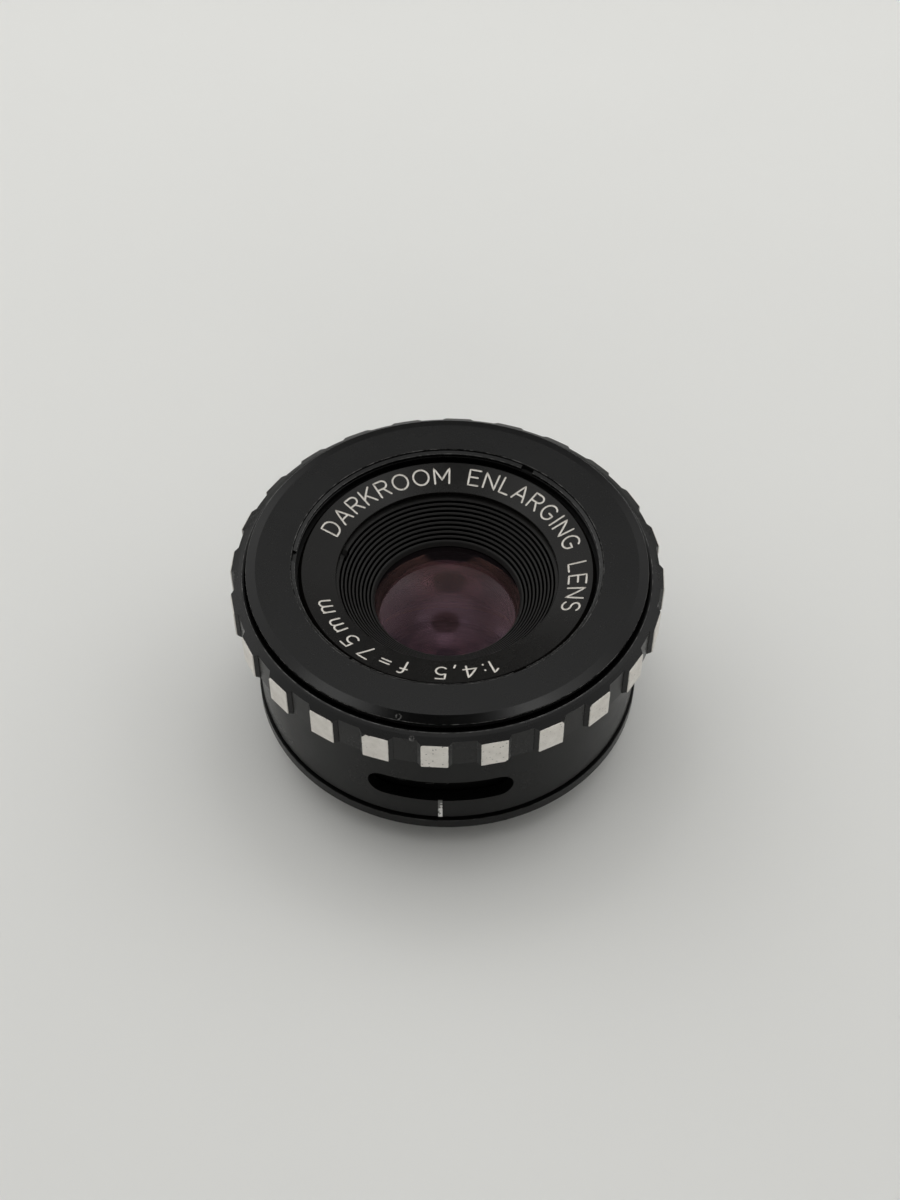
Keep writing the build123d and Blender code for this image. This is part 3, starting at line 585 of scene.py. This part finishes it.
def make_flange():
    start = THREAD_END + THREAD_LEAD
    rows = round((THREAD_TOP - start) / PITCH * ROWS_PER_PITCH)
    wall = [(THREAD_CREST, start + row * PITCH / ROWS_PER_PITCH) for row in range(rows + 1)]
    broken = FLANGE_RADIUS - FLANGE_BREAK
    outline = [(THREAD_BORE, THREAD_END), (THREAD_CREST - THREAD_LEAD, THREAD_END), *wall]
    outline += [(THREAD_CREST, 0), (broken, 0), (FLANGE_RADIUS, FLANGE_BREAK)]
    outline += [(FLANGE_RADIUS, FLANGE_TOP - FLANGE_BREAK), (broken, FLANGE_TOP)]
    outline += [(NECK_RADIUS, FLANGE_TOP), (NECK_RADIUS, NECK_TOP), (FLANGE_BORE, NECK_TOP)]
    outline += [(FLANGE_BORE, WEB_FOOT), (THREAD_BORE, WEB_FOOT)]
    mesh = turned(outline, SEGMENTS, thread_cut)
    finish_piece(
        "mount_flange_threaded", mesh, [LOOKS["mount_flange"]], "barrel", ["mount_flange"], 25
    )


make_flange()


# ---- the white facets: paint on the ring's flats, chipped at the corners -------------------------
FACET_COUNT, FACET_PHASE, FACET_APOTHEM, FACET_DEPTH = 24, -1.06, 25.0, 0.12
FACET_WIDTH, FACET_FOOT, FACET_HEAD = 3.0, 14.95, 18.75
FACET_SEED, OUTLINE_STEP, RAGGED, SOFT_EDGE = 24, 0.13, 0.03, 0.03
CORNER_WEAR, BITE_RAGGED = (0.02, 0.07), (0.85, 1.1)
# bites out of the paint: facet number, place across and up from the facet's centre, and size
CHIPS = ((23, -1.5, 1.85, 0.42), (23, -0.7, 2.0, 0.22), (0, -1.5, 1.95, 0.2), (1, 1.5, -1.9, 0.25),
         (2, 1.55, 1.9, 0.3), (22, 1.5, 1.9, 0.22), (21, -1.5, 1.9, 0.2), (3, -1.5, 1.9, 0.25))


def facet_outline(number, chance):
    """The painted patch's outline, across and up from its centre."""
    half_width, half_height = FACET_WIDTH / 2, (FACET_HEAD - FACET_FOOT) / 2
    square = [(-half_width, -half_height), (half_width, -half_height)]
    square += [(half_width, half_height), (-half_width, half_height)]
    bites = [Vector(chip[1:3]).to_3d() for chip in CHIPS if chip[0] == number]
    sizes = [chip[3] for chip in CHIPS if chip[0] == number]
    for corner in square:
        bites.append(Vector((*corner, 0)))
        sizes.append(chance.uniform(*CORNER_WEAR))
    outline = []
    for x, y in dense([*square, square[0]], OUTLINE_STEP)[:-1]:
        inset = chance.uniform(0.0, RAGGED)
        spot = Vector((x * (1 - inset / half_width), y * (1 - inset / half_height), 0))
        for bite, size in zip(bites, sizes):
            away = spot - bite
            if away.length < size:
                inward = (away.normalized() - bite.normalized()).normalized()
                spot = bite + inward * size * chance.uniform(*BITE_RAGGED)
        across = max(-half_width, min(half_width, spot.x))
        up = max(-half_height, min(half_height, spot.y))
        outline.append((across, up))
    return outline


def make_facets():
    chance = random.Random(FACET_SEED)
    mesh = bmesh.new()
    middle = (FACET_HEAD + FACET_FOOT) / 2
    for number in range(FACET_COUNT):
        azimuth = math.radians(FACET_PHASE + number * 360 / FACET_COUNT)
        outward = Vector((math.sin(azimuth), -math.cos(azimuth), 0))
        across = Vector((math.cos(azimuth), math.sin(azimuth), 0))
        outline = facet_outline(number, chance)
        rings = []
        # a soft edge: the patch's front is a little smaller than its foot
        for depth, shrink in ((FACET_DEPTH, 0.0), (SOFT_EDGE, 0.0), (0.0, SOFT_EDGE)):
            scale = 1 - shrink / (FACET_WIDTH / 2)
            centre = outward * (FACET_APOTHEM - depth) + Vector((0, 0, middle))
            places = [centre + across * x * scale + Vector((0, 0, y * scale)) for x, y in outline]
            rings.append([mesh.verts.new(place * MM) for place in places])
        for back, front in zip(rings, rings[1:]):
            for step in range(len(outline)):
                beside = (step + 1) % len(outline)
                mesh.faces.new((back[step], back[beside], front[beside], front[step]))
        mesh.faces.new(reversed(rings[0]))
        mesh.faces.new(rings[-1])
    finish_piece("grip_facets", mesh, [LOOKS["white"]], "aperture_control", ["grip_inlays"])


make_facets()


# ---- figures on the aperture drum, behind the window ---------------------------------------------
DRUM_RADIUS, FIGURE_HEIGHT, FIGURE_MIDDLE = 21.0, 1.9, 6.85
FIGURE_LIFT, FIGURE_RADIUS, FIGURE_SPACING, FIGURE_STEP = -0.06, 0.08, 0.4, 0.3
STOPS = ("4,5", "5,6", "8", "11", "16", "22")
STOP_ANGLE = 15.0


def make_figures():
    """One figure for each click, upside down here: upright when the lens points down in use."""
    mesh = bmesh.new()
    for number, text in enumerate(STOPS):
        strokes, length = written(text, FIGURE_HEIGHT, FIGURE_SPACING)
        for line in strokes:
            places, ups = [], []
            for along, up in dense(line, FIGURE_STEP):
                turn = -(along - length / 2) / DRUM_RADIUS
                azimuth = math.radians(-STOP_ANGLE * number) + turn
                outward = Vector((math.sin(azimuth), -math.cos(azimuth), 0))
                height = FIGURE_MIDDLE + FIGURE_HEIGHT / 2 - up
                places.append(outward * (DRUM_RADIUS + FIGURE_LIFT) + Vector((0, 0, height)))
                ups.append(outward)
            bead(mesh, places, ups, FIGURE_RADIUS)
    finish_piece("aperture_figures", mesh, [LOOKS["figures"]], "aperture_control")


make_figures()


# ---- the baffle: ten ridges with grooves between them, which a darker black fills with painted shade ---
BAFFLE_TOP, BAFFLE_MOUTH = (12.75, 17.30), (8.54, 13.66)
BAFFLE_FOOT, BAFFLE_WALL, BAFFLE_SEGMENTS = 13.3, 13.85, 216
RIDGES, LAND_SHARE, GROOVE_DEPTH = 10, 0.56, 0.34
LAND_BREAK, LAND_FLAT, WALL_LEAN, GROOVE_GAP = 0.04, 0.10, 0.03, 0.02
NOTCH_AZIMUTH, NOTCH_HALF_WIDTH, NOTCH_BOTTOM = -105.0, 0.5, 16.5
NOTCH_INNER, NOTCH_OUTER = 12.3, 13.4


def ridge_outline():
    """(radius, height) outline, with the numbers of the points that start a groove's walls."""
    # inwards is into the metal, away from the light well
    run = Vector(BAFFLE_MOUTH) - Vector(BAFFLE_TOP)
    along, inwards = run.normalized(), Vector((-run.y, run.x)).normalized()
    if inwards.x < 0:
        inwards = -inwards
    pitch = run.length / RIDGES
    outline, grooves = [], set()
    for ridge in range(RIDGES):
        crest = Vector(BAFFLE_TOP) + along * pitch * ridge
        lip = crest + along * pitch * LAND_SHARE
        outline += [crest + along * LAND_BREAK + inwards * WALL_LEAN, crest + along * LAND_FLAT]
        outline += [lip - along * LAND_BREAK]
        if ridge < RIDGES - 1:
            grooves |= {len(outline), len(outline) + 1, len(outline) + 2}
            outline += [lip + inwards * LAND_BREAK, lip + inwards * GROOVE_DEPTH + along * WALL_LEAN]
            outline += [crest + along * (pitch - GROOVE_GAP) + inwards * GROOVE_DEPTH]
    outline += [(BAFFLE_MOUTH[0], BAFFLE_FOOT), (BAFFLE_WALL, BAFFLE_FOOT), (BAFFLE_WALL, BAFFLE_TOP[1])]
    return [tuple(point) for point in outline], grooves


def make_baffle():
    outline, grooves = ridge_outline()
    mesh = turned(outline, BAFFLE_SEGMENTS)
    mesh.faces.ensure_lookup_table()
    for number, face in enumerate(mesh.faces):
        if number % len(outline) in grooves:
            face.material_index = 1
    # the small notch in the first ridge: whatever stands above its floor is pressed down to it
    azimuth = math.radians(NOTCH_AZIMUTH)
    for vertex in mesh.verts:
        x, y, z = vertex.co / MM
        across = x * math.cos(azimuth) + y * math.sin(azimuth)
        outwards = x * math.sin(azimuth) - y * math.cos(azimuth)
        inside = abs(across) < NOTCH_HALF_WIDTH and NOTCH_INNER < outwards < NOTCH_OUTER
        if inside and z > NOTCH_BOTTOM:
            vertex.co.z = NOTCH_BOTTOM * MM
    # the grooves' faces take the darker black, which paints shade into them
    materials = [LOOKS["front_baffle"], LOOKS["groove"]]
    finish_piece("front_baffle_ridged", mesh, materials, "barrel", ["front_baffle"], 25)


make_baffle()


# ---- the four glasses, with true spherical surfaces and blackened rims ---------------------------
# radius of the blank, then vertex height, rim radius and rim height of the front and rear surfaces
LENSES = {
    "front_element": (9.3, (15.0, 9.3, 12.828), (11.4, 9.3, 11.203)),
    "middle_element": (8.2, (9.2, 7.2, 9.888), (8.0, 7.0, 6.664)),
    "rear_flint_element": (8.0, (1.2, 7.4, 1.658), (0.1, 8.0, -1.775)),
    "rear_crown_element": (8.0, (0.09, 8.0, -1.785), (-3.5, 8.0, -2.239)),
}
CEMENTED = {"rear_flint_element": "rear", "rear_crown_element": "front"}
LENS_SEGMENTS, CAP_STEPS = 144, 36
BLACK_RIM, CEMENT, INNER_COAT = 1, 2, 3  # a glass's materials after its own, which is number 0
LEVEL_ENOUGH = 0.1  # a polished surface's normals have more of z than this
SAME_PLACE = 1e-7


def cap(vertex, rim_radius, rim_height):
    """Points along a spherical surface, from its vertex on the axis to its rim."""
    sag = rim_height - vertex
    curvature_radius = (rim_radius ** 2 + sag ** 2) / (2 * sag)
    points = []
    for step in range(CAP_STEPS + 1):
        radius = rim_radius * step / CAP_STEPS
        depth = math.sqrt(curvature_radius ** 2 - radius ** 2)
        points.append((radius, vertex + curvature_radius - math.copysign(depth, curvature_radius)))
    return points


def make_lens(name, blank_radius, front, rear):
    front_cap, rear_cap = cap(*front), cap(*rear)
    outline = front_cap + [(blank_radius, front[2])] * (blank_radius > front[1])
    outline += [(blank_radius, rear[2])] * (blank_radius > rear[1]) + rear_cap[::-1]
    mesh = turned(outline, LENS_SEGMENTS, closed=False)
    bmesh.ops.remove_doubles(mesh, verts=mesh.verts, dist=SAME_PLACE)
    middle = (front[2] + rear[2]) / 2 * MM
    for face in mesh.faces:
        centre = face.calc_center_median()
        wide = math.hypot(centre.x, centre.y) / MM
        side = "front" if centre.z > middle else "rear"
        reach = front[1] if side == "front" else rear[1]
        if wide > reach or abs(face.normal.z) < LEVEL_ENOUGH:
            face.material_index = BLACK_RIM
        elif CEMENTED.get(name) == side:
            face.material_index = CEMENT
        elif name == "front_element" and side == "rear":
            face.material_index = INNER_COAT
    materials = [LOOKS[WEARS[name]], LOOKS["rim_black"], LOOKS["cement"]]
    if name == "front_element":
        materials.append(LOOKS["inner_coat"])
    finish_piece(name + "_polished", mesh, materials, "barrel", [name], 20)


for lens_name, (blank_radius, front_surface, rear_surface) in LENSES.items():
    make_lens(lens_name, blank_radius, front_surface, rear_surface)


# ---- floor, light and camera ---------------------------------------------------------------------
FLOOR_FRONT_SHADED, FLOOR_BACK = (0.68, 0.68, 0.665, 1), (0.88, 0.88, 0.86, 1)
SHADE_START, SHADE_END, SHADE_CLOUD = -90.0, 170.0, 60.0  # along Y: the painted shade's span, and how far the clouds shift it
FLOOR_FLAT, FLOOR_SWEEP, SWEEP_STEPS, FLOOR_SEGMENTS = 700.0, 400.0, 24, 128
FLOOR_MERGE = 1e-6


def floor_material():
    """Off-white, with painted shade: a little darker towards the front."""
    shader = Shader("floor_white", ior=1.4)
    cloud = shader.noise(0.01, 3.0, 0.5)
    away = shader.node("SeparateXYZ", {0: shader.place()}).outputs[1]
    uneven = shader.math("MULTIPLY_ADD", cloud, SHADE_CLOUD, away)
    # painted shade: the floor's colour darkens towards the front
    shade = shader.span(uneven, SHADE_START, SHADE_END)
    shader.put("Base Color", shader.blend(shade, FLOOR_FRONT_SHADED, FLOOR_BACK))
    shader.put("Roughness", shader.span(cloud, 0.3, 0.7, 0.55, 0.65))
    return shader.material


def make_floor():
    """A round table that sweeps up on every side."""
    level = CAD_BOX[0][2] / MM
    profile = [(0.0, level), (FLOOR_FLAT * 0.5, level), (FLOOR_FLAT, level)]
    for step in range(1, SWEEP_STEPS + 1):
        angle = math.radians(90 * step / SWEEP_STEPS)
        rise = FLOOR_SWEEP * (1 - math.cos(angle))
        profile.append((FLOOR_FLAT + FLOOR_SWEEP * math.sin(angle), level + rise))
    mesh = turned(profile, FLOOR_SEGMENTS, closed=False)
    bmesh.ops.remove_doubles(mesh, verts=mesh.verts, dist=FLOOR_MERGE)
    bmesh.ops.recalc_face_normals(mesh, faces=mesh.faces)
    data = bpy.data.meshes.new("floor")
    mesh.to_mesh(data)
    mesh.free()
    data.shade_smooth()
    floor = bpy.data.objects.new("floor", data)
    bpy.context.scene.collection.objects.link(floor)
    wear(floor, floor_material())


ROOM_LEVEL = 0.30
# direction, half-angle of the full patch and of its fading edge in degrees, and what it adds
ROOM_PATCHES = (
    # the broad ceiling, and the light over and behind the lens
    ((0.0, 0.0, 1.0), 50, 85, 0.50),
    ((0.0, 0.30, 0.95), 9, 24, 1.45),
    # the two sides
    ((-0.70, 0.55, 0.50), 15, 36, 0.80),
    ((0.70, 0.55, 0.50), 15, 36, 0.50),
    # three small lamps
    ((-0.268, 0.328, 0.905), 1.5, 5, 1.2),
    ((0.163, 0.296, 0.94), 1.5, 4, 1.2),
    ((0.53, 0.25, 0.81), 2, 5, 1.6),
    # a dark patch that the bezel's bevel mirrors at the front, with a lamp beside it
    ((-0.027, 0.26, 0.965), 6.5, 9.5, -2.6),
    ((-0.03, 0.06, 1.0), 2, 7, 1.6),
    # light for the aperture ring's shoulder
    ((-0.03, -0.315, 0.948), 6, 16, 0.40),
    # darker in front of the lens, and low behind it
    ((0.0, -0.89, 0.46), 30, 55, -0.85),
    ((0.0, 0.92, 0.38), 14, 28, -0.32),
)
ROOM_COLOUR = (1.0, 1.0, 0.985, 1)
# the fill light's place, aim and sizes in metres, its watts and its colour
FILL_PLACE, FILL_AIM, FILL_WIDTH, FILL_DEPTH = (0, -0.7, 0.25), (0, 0, 0.01), 0.6, 0.3
FILL_POWER, FILL_COLOUR = 0.58, (1.0, 0.985, 0.96)


def make_fill():
    """A weak, broad light from the front."""
    data = bpy.data.lights.new("front_fill", "AREA")
    data.shape = "RECTANGLE"
    data.size, data.size_y = FILL_WIDTH, FILL_DEPTH
    data.energy = FILL_POWER
    data.color = FILL_COLOUR
    light = bpy.data.objects.new("front_fill", data)
    light.location = FILL_PLACE
    ray = Vector(FILL_AIM) - Vector(FILL_PLACE)
    light.rotation_euler = ray.to_track_quat("-Z", "Y").to_euler()
    light.visible_camera = False
    bpy.context.scene.collection.objects.link(light)


def make_room():
    """A soft room: even light, with brighter and darker patches."""
    world = bpy.data.worlds.new("soft_room")
    world.use_nodes = True
    nodes, links = world.node_tree.nodes, world.node_tree.links
    backdrop = nodes["Background"]
    backdrop.inputs["Color"].default_value = ROOM_COLOUR
    look = nodes.new("ShaderNodeTexCoord").outputs["Generated"]
    level = ROOM_LEVEL
    for direction, inner, outer, gain in ROOM_PATCHES:
        near = nodes.new("ShaderNodeVectorMath")
        near.operation = "DOT_PRODUCT"
        links.new(look, near.inputs[0])
        near.inputs[1].default_value = Vector(direction).normalized()
        patch = nodes.new("ShaderNodeMapRange")
        patch.interpolation_type = "SMOOTHSTEP"
        links.new(near.outputs["Value"], patch.inputs["Value"])
        edges = math.cos(math.radians(outer)), math.cos(math.radians(inner))
        for socket, value in zip(patch.inputs[1:5], (*edges, 0.0, gain)):
            socket.default_value = value
        total = nodes.new("ShaderNodeMath")
        total.operation = "ADD"
        links.new(patch.outputs["Result"], total.inputs[0])
        if isinstance(level, float):
            total.inputs[1].default_value = level
        else:
            links.new(level, total.inputs[1])
        level = total.outputs[0]
    dimmest = nodes.new("ShaderNodeMath")
    dimmest.operation = "MAXIMUM"
    dimmest.inputs[1].default_value = 0.0
    links.new(level, dimmest.inputs[0])
    links.new(dimmest.outputs[0], backdrop.inputs["Strength"])
    bpy.context.scene.world = world


CAMERA_LENS, CAMERA_SENSOR, CAMERA_NEAR = 53.06, 36.0, 0.01
CAMERA_AZIMUTH, CAMERA_DISTANCE, CAMERA_HEIGHT = 2.2, 133.9, 172.72
CAMERA_HEADING, CAMERA_TILT, CAMERA_ROLL = 2.064, 40.035, -0.065


def make_camera():
    data = bpy.data.cameras.new("camera")
    data.lens = CAMERA_LENS
    data.sensor_width = CAMERA_SENSOR
    data.clip_start = CAMERA_NEAR
    camera = bpy.data.objects.new("camera", data)
    azimuth, distance = math.radians(CAMERA_AZIMUTH), CAMERA_DISTANCE * MM
    spot = (distance * math.sin(azimuth), -distance * math.cos(azimuth), CAMERA_HEIGHT * MM)
    turn = Euler((0, 0, math.radians(CAMERA_HEADING))).to_matrix()
    turn = turn @ Euler((math.radians(CAMERA_TILT), 0, 0)).to_matrix()
    turn = turn @ Euler((0, 0, math.radians(CAMERA_ROLL))).to_matrix()
    camera.matrix_world = Matrix.Translation(spot) @ turn.to_4x4()
    bpy.context.scene.collection.objects.link(camera)
    bpy.context.scene.camera = camera


make_floor()
make_room()
make_fill()
make_camera()
bpy.context.scene.view_settings.view_transform = "Standard"
